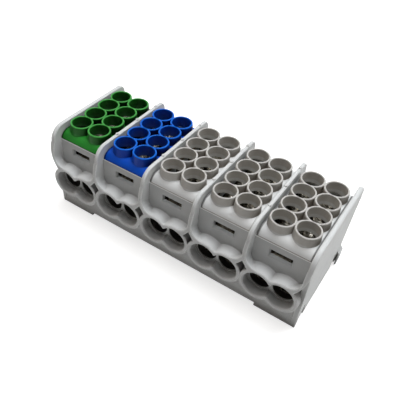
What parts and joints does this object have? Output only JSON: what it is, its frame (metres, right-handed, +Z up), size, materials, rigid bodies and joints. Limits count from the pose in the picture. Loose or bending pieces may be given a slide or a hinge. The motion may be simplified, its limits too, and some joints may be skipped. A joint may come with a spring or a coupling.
{
  "type": "power distribution block",
  "caption": "Row of branch terminals in a grey moulded housing with partition walls, coloured tower covers over slotted clamp screws and paired wire entries on both long sides.",
  "frame": {"origin": "middle of the standing plane under the feet", "axes": "+X along the row of poles, +Y from the pictured long side to the other long side, +Z up"},
  "size_m": [0.1402, 0.0594, 0.0495],
  "materials": {
    "grey_plastic": "plain matte moulded polyamide, light grey",
    "light_grey_plastic": "plain matte moulded polyamide, light grey",
    "green_plastic": "matte moulded polyamide, mid green",
    "blue_plastic": "matte moulded polyamide, strong blue",
    "brass": "machined brass, plain",
    "zinc_steel": "bright zinc plated steel"
  },
  "bodies": {
    "block": {"housing": "grey_plastic", "cover_1": "green_plastic", "cover_2": "blue_plastic", "cover_3": "light_grey_plastic", "cover_4": "light_grey_plastic", "cover_5": "light_grey_plastic", "terminal_1": "brass", "terminal_2": "brass", "terminal_3": "brass", "terminal_4": "brass", "terminal_5": "brass"},
    "clamp_screw_1_1_left_body": {"clamp_screw_1_1_left": "zinc_steel"},
    "clamp_screw_1_1_right_body": {"clamp_screw_1_1_right": "zinc_steel"},
    "clamp_screw_1_2_left_body": {"clamp_screw_1_2_left": "zinc_steel"},
    "clamp_screw_1_2_right_body": {"clamp_screw_1_2_right": "zinc_steel"},
    "clamp_screw_1_3_left_body": {"clamp_screw_1_3_left": "zinc_steel"},
    "clamp_screw_1_3_right_body": {"clamp_screw_1_3_right": "zinc_steel"},
    "clamp_screw_1_4_left_body": {"clamp_screw_1_4_left": "zinc_steel"},
    "clamp_screw_1_4_right_body": {"clamp_screw_1_4_right": "zinc_steel"},
    "clamp_screw_2_1_left_body": {"clamp_screw_2_1_left": "zinc_steel"},
    "clamp_screw_2_1_right_body": {"clamp_screw_2_1_right": "zinc_steel"},
    "clamp_screw_2_2_left_body": {"clamp_screw_2_2_left": "zinc_steel"},
    "clamp_screw_2_2_right_body": {"clamp_screw_2_2_right": "zinc_steel"},
    "clamp_screw_2_3_left_body": {"clamp_screw_2_3_left": "zinc_steel"},
    "clamp_screw_2_3_right_body": {"clamp_screw_2_3_right": "zinc_steel"},
    "clamp_screw_2_4_left_body": {"clamp_screw_2_4_left": "zinc_steel"},
    "clamp_screw_2_4_right_body": {"clamp_screw_2_4_right": "zinc_steel"},
    "clamp_screw_3_1_left_body": {"clamp_screw_3_1_left": "zinc_steel"},
    "clamp_screw_3_1_right_body": {"clamp_screw_3_1_right": "zinc_steel"},
    "clamp_screw_3_2_left_body": {"clamp_screw_3_2_left": "zinc_steel"},
    "clamp_screw_3_2_right_body": {"clamp_screw_3_2_right": "zinc_steel"},
    "clamp_screw_3_3_left_body": {"clamp_screw_3_3_left": "zinc_steel"},
    "clamp_screw_3_3_right_body": {"clamp_screw_3_3_right": "zinc_steel"},
    "clamp_screw_3_4_left_body": {"clamp_screw_3_4_left": "zinc_steel"},
    "clamp_screw_3_4_right_body": {"clamp_screw_3_4_right": "zinc_steel"},
    "clamp_screw_4_1_left_body": {"clamp_screw_4_1_left": "zinc_steel"},
    "clamp_screw_4_1_right_body": {"clamp_screw_4_1_right": "zinc_steel"},
    "clamp_screw_4_2_left_body": {"clamp_screw_4_2_left": "zinc_steel"},
    "clamp_screw_4_2_right_body": {"clamp_screw_4_2_right": "zinc_steel"},
    "clamp_screw_4_3_left_body": {"clamp_screw_4_3_left": "zinc_steel"},
    "clamp_screw_4_3_right_body": {"clamp_screw_4_3_right": "zinc_steel"},
    "clamp_screw_4_4_left_body": {"clamp_screw_4_4_left": "zinc_steel"},
    "clamp_screw_4_4_right_body": {"clamp_screw_4_4_right": "zinc_steel"},
    "clamp_screw_5_1_left_body": {"clamp_screw_5_1_left": "zinc_steel"},
    "clamp_screw_5_1_right_body": {"clamp_screw_5_1_right": "zinc_steel"},
    "clamp_screw_5_2_left_body": {"clamp_screw_5_2_left": "zinc_steel"},
    "clamp_screw_5_2_right_body": {"clamp_screw_5_2_right": "zinc_steel"},
    "clamp_screw_5_3_left_body": {"clamp_screw_5_3_left": "zinc_steel"},
    "clamp_screw_5_3_right_body": {"clamp_screw_5_3_right": "zinc_steel"},
    "clamp_screw_5_4_left_body": {"clamp_screw_5_4_left": "zinc_steel"},
    "clamp_screw_5_4_right_body": {"clamp_screw_5_4_right": "zinc_steel"}
  },
  "joints": [
    {"name": "clamp_screw_1_1_left_travel", "type": "slide", "parent": "block", "child": "clamp_screw_1_1_left_body", "axis": [0, 0, -1], "range_m": [0, 0.0135]},
    {"name": "clamp_screw_1_1_right_travel", "type": "slide", "parent": "block", "child": "clamp_screw_1_1_right_body", "axis": [0, 0, -1], "range_m": [0, 0.0135]},
    {"name": "clamp_screw_1_2_left_travel", "type": "slide", "parent": "block", "child": "clamp_screw_1_2_left_body", "axis": [0, 0, -1], "range_m": [0, 0.0135]},
    {"name": "clamp_screw_1_2_right_travel", "type": "slide", "parent": "block", "child": "clamp_screw_1_2_right_body", "axis": [0, 0, -1], "range_m": [0, 0.0135]},
    {"name": "clamp_screw_1_3_left_travel", "type": "slide", "parent": "block", "child": "clamp_screw_1_3_left_body", "axis": [0, 0, -1], "range_m": [0, 0.0135]},
    {"name": "clamp_screw_1_3_right_travel", "type": "slide", "parent": "block", "child": "clamp_screw_1_3_right_body", "axis": [0, 0, -1], "range_m": [0, 0.0135]},
    {"name": "clamp_screw_1_4_left_travel", "type": "slide", "parent": "block", "child": "clamp_screw_1_4_left_body", "axis": [0, 0, -1], "range_m": [0, 0.0135]},
    {"name": "clamp_screw_1_4_right_travel", "type": "slide", "parent": "block", "child": "clamp_screw_1_4_right_body", "axis": [0, 0, -1], "range_m": [0, 0.0135]},
    {"name": "clamp_screw_2_1_left_travel", "type": "slide", "parent": "block", "child": "clamp_screw_2_1_left_body", "axis": [0, 0, -1], "range_m": [0, 0.0135]},
    {"name": "clamp_screw_2_1_right_travel", "type": "slide", "parent": "block", "child": "clamp_screw_2_1_right_body", "axis": [0, 0, -1], "range_m": [0, 0.0135]},
    {"name": "clamp_screw_2_2_left_travel", "type": "slide", "parent": "block", "child": "clamp_screw_2_2_left_body", "axis": [0, 0, -1], "range_m": [0, 0.0135]},
    {"name": "clamp_screw_2_2_right_travel", "type": "slide", "parent": "block", "child": "clamp_screw_2_2_right_body", "axis": [0, 0, -1], "range_m": [0, 0.0135]},
    {"name": "clamp_screw_2_3_left_travel", "type": "slide", "parent": "block", "child": "clamp_screw_2_3_left_body", "axis": [0, 0, -1], "range_m": [0, 0.0135]},
    {"name": "clamp_screw_2_3_right_travel", "type": "slide", "parent": "block", "child": "clamp_screw_2_3_right_body", "axis": [0, 0, -1], "range_m": [0, 0.0135]},
    {"name": "clamp_screw_2_4_left_travel", "type": "slide", "parent": "block", "child": "clamp_screw_2_4_left_body", "axis": [0, 0, -1], "range_m": [0, 0.0135]},
    {"name": "clamp_screw_2_4_right_travel", "type": "slide", "parent": "block", "child": "clamp_screw_2_4_right_body", "axis": [0, 0, -1], "range_m": [0, 0.0135]},
    {"name": "clamp_screw_3_1_left_travel", "type": "slide", "parent": "block", "child": "clamp_screw_3_1_left_body", "axis": [0, 0, -1], "range_m": [0, 0.0135]},
    {"name": "clamp_screw_3_1_right_travel", "type": "slide", "parent": "block", "child": "clamp_screw_3_1_right_body", "axis": [0, 0, -1], "range_m": [0, 0.0135]},
    {"name": "clamp_screw_3_2_left_travel", "type": "slide", "parent": "block", "child": "clamp_screw_3_2_left_body", "axis": [0, 0, -1], "range_m": [0, 0.0135]},
    {"name": "clamp_screw_3_2_right_travel", "type": "slide", "parent": "block", "child": "clamp_screw_3_2_right_body", "axis": [0, 0, -1], "range_m": [0, 0.0135]},
    {"name": "clamp_screw_3_3_left_travel", "type": "slide", "parent": "block", "child": "clamp_screw_3_3_left_body", "axis": [0, 0, -1], "range_m": [0, 0.0135]},
    {"name": "clamp_screw_3_3_right_travel", "type": "slide", "parent": "block", "child": "clamp_screw_3_3_right_body", "axis": [0, 0, -1], "range_m": [0, 0.0135]},
    {"name": "clamp_screw_3_4_left_travel", "type": "slide", "parent": "block", "child": "clamp_screw_3_4_left_body", "axis": [0, 0, -1], "range_m": [0, 0.0135]},
    {"name": "clamp_screw_3_4_right_travel", "type": "slide", "parent": "block", "child": "clamp_screw_3_4_right_body", "axis": [0, 0, -1], "range_m": [0, 0.0135]},
    {"name": "clamp_screw_4_1_left_travel", "type": "slide", "parent": "block", "child": "clamp_screw_4_1_left_body", "axis": [0, 0, -1], "range_m": [0, 0.0135]},
    {"name": "clamp_screw_4_1_right_travel", "type": "slide", "parent": "block", "child": "clamp_screw_4_1_right_body", "axis": [0, 0, -1], "range_m": [0, 0.0135]},
    {"name": "clamp_screw_4_2_left_travel", "type": "slide", "parent": "block", "child": "clamp_screw_4_2_left_body", "axis": [0, 0, -1], "range_m": [0, 0.0135]},
    {"name": "clamp_screw_4_2_right_travel", "type": "slide", "parent": "block", "child": "clamp_screw_4_2_right_body", "axis": [0, 0, -1], "range_m": [0, 0.0135]},
    {"name": "clamp_screw_4_3_left_travel", "type": "slide", "parent": "block", "child": "clamp_screw_4_3_left_body", "axis": [0, 0, -1], "range_m": [0, 0.0135]},
    {"name": "clamp_screw_4_3_right_travel", "type": "slide", "parent": "block", "child": "clamp_screw_4_3_right_body", "axis": [0, 0, -1], "range_m": [0, 0.0135]},
    {"name": "clamp_screw_4_4_left_travel", "type": "slide", "parent": "block", "child": "clamp_screw_4_4_left_body", "axis": [0, 0, -1], "range_m": [0, 0.0135]},
    {"name": "clamp_screw_4_4_right_travel", "type": "slide", "parent": "block", "child": "clamp_screw_4_4_right_body", "axis": [0, 0, -1], "range_m": [0, 0.0135]},
    {"name": "clamp_screw_5_1_left_travel", "type": "slide", "parent": "block", "child": "clamp_screw_5_1_left_body", "axis": [0, 0, -1], "range_m": [0, 0.0135]},
    {"name": "clamp_screw_5_1_right_travel", "type": "slide", "parent": "block", "child": "clamp_screw_5_1_right_body", "axis": [0, 0, -1], "range_m": [0, 0.0135]},
    {"name": "clamp_screw_5_2_left_travel", "type": "slide", "parent": "block", "child": "clamp_screw_5_2_left_body", "axis": [0, 0, -1], "range_m": [0, 0.0135]},
    {"name": "clamp_screw_5_2_right_travel", "type": "slide", "parent": "block", "child": "clamp_screw_5_2_right_body", "axis": [0, 0, -1], "range_m": [0, 0.0135]},
    {"name": "clamp_screw_5_3_left_travel", "type": "slide", "parent": "block", "child": "clamp_screw_5_3_left_body", "axis": [0, 0, -1], "range_m": [0, 0.0135]},
    {"name": "clamp_screw_5_3_right_travel", "type": "slide", "parent": "block", "child": "clamp_screw_5_3_right_body", "axis": [0, 0, -1], "range_m": [0, 0.0135]},
    {"name": "clamp_screw_5_4_left_travel", "type": "slide", "parent": "block", "child": "clamp_screw_5_4_left_body", "axis": [0, 0, -1], "range_m": [0, 0.0135]},
    {"name": "clamp_screw_5_4_right_travel", "type": "slide", "parent": "block", "child": "clamp_screw_5_4_right_body", "axis": [0, 0, -1], "range_m": [0, 0.0135]}
  ]
}
